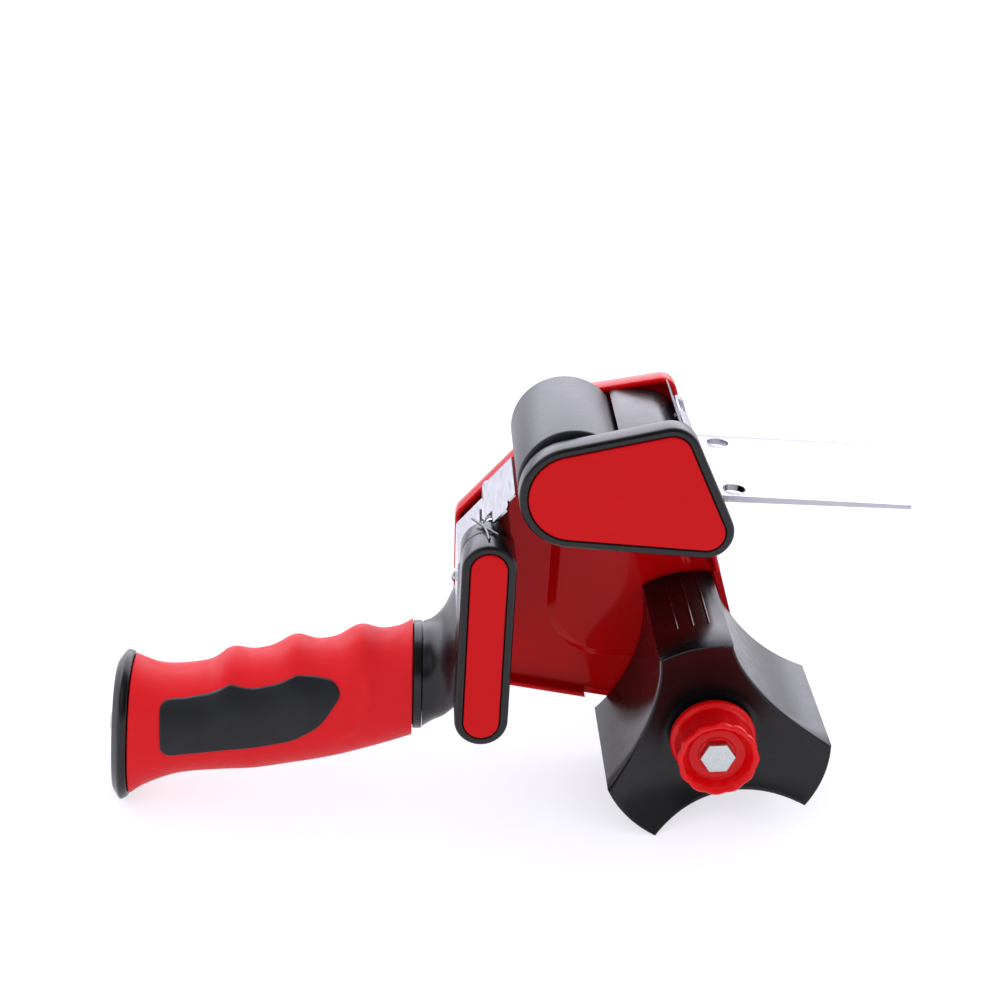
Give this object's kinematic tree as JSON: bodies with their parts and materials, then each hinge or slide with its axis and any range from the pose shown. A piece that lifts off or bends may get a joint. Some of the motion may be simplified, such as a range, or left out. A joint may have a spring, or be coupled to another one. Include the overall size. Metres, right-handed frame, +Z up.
{
  "type": "tape dispenser",
  "caption": "Hand-held packing-tape dispenser with a pistol grip, three-lobed tape hub with a screw brake, rubbing roller, toothed blade, clear guard and a sprung tape guide.",
  "frame": {"origin": "middle of the bounding box's bottom face, the surface that the dispenser stands on", "axes": "+X from the grip to the nose, +Y from the near covers to the side plate, +Z up through the roller"},
  "size_m": [0.2496, 0.0676, 0.1473],
  "materials": {
    "glossy_red": "glossy",
    "red_inlay": "fine matte texture",
    "red_grip": "satin soft-touch",
    "black_plastic": "satin",
    "black_rubber": "satin",
    "bright_steel": "bright",
    "spring_steel": "dark wire",
    "zinc": "zinc plated",
    "clear_plastic": "clear"
  },
  "bodies": {
    "frame": {"side_plate": "glossy_red", "hub_spindle": "black_plastic", "post_body": "black_plastic", "post_cover": "black_plastic", "post_inlay": "red_inlay", "grip_shell": "red_grip", "grip_pad_near": "black_rubber", "grip_pad_far": "black_rubber", "grip_collar": "black_plastic", "butt_cap": "black_plastic", "handle_core": "black_plastic", "handle_screw": "zinc", "nose_body": "black_plastic", "nose_cover": "black_plastic", "nose_inlay": "red_inlay", "roller_axle": "bright_steel", "blade": "bright_steel", "blade_screw_near": "zinc", "blade_screw_far": "zinc", "blade_guard": "clear_plastic", "guide_plate": "bright_steel", "guide_screw": "zinc", "flap_pin": "bright_steel", "flap_spring": "spring_steel", "brake_washer": "zinc", "brake_spring": "spring_steel", "brake_nut": "zinc", "post_screw_top": "zinc", "post_screw_low": "zinc", "nose_screw_top": "zinc", "nose_screw_low": "zinc", "spindle_screw": "zinc"},
    "roller": {"roller_sleeve": "black_rubber", "roller_core": "black_plastic"},
    "guide_flap": {"guide_flap": "bright_steel"},
    "tape_hub": {"tape_hub": "black_plastic"},
    "spring_cap": {"spring_cap": "zinc"},
    "brake_knob": {"brake_knob": "glossy_red", "brake_bolt": "zinc"}
  },
  "joints": [
    {"name": "roller_spin", "type": "hinge", "parent": "frame", "child": "roller", "pos_m": [0.02106, 0.00075, 0.1252], "axis": [0, 1, 0], "continuous": true},
    {"name": "hub_spin", "type": "hinge", "parent": "frame", "child": "tape_hub", "pos_m": [0.07106, 0.00075, 0.0332], "axis": [0, 1, 0], "continuous": true},
    {"name": "brake_travel", "type": "slide", "parent": "frame", "child": "spring_cap", "axis": [0, 1, 0], "range_m": [0, 0.0015], "deforming": ["brake_spring"]},
    {"name": "knob_turn", "type": "hinge", "parent": "spring_cap", "child": "brake_knob", "pos_m": [0.07106, -0.02425, 0.0332], "axis": [0, 1, 0], "range_deg": [0, 540]},
    {"name": "guide_flap_pivot", "type": "hinge", "parent": "frame", "child": "guide_flap", "pos_m": [-0.00295, 0.00075, 0.1066], "axis": [0, -1, 0], "range_deg": [0, 35], "stiffness_Nm_per_rad": 0.02, "springref_deg": -17.19}
  ],
  "couplings": [
    {"joint": "brake_travel", "follows": "knob_turn", "m_per_rad": 0.000159}
  ]
}
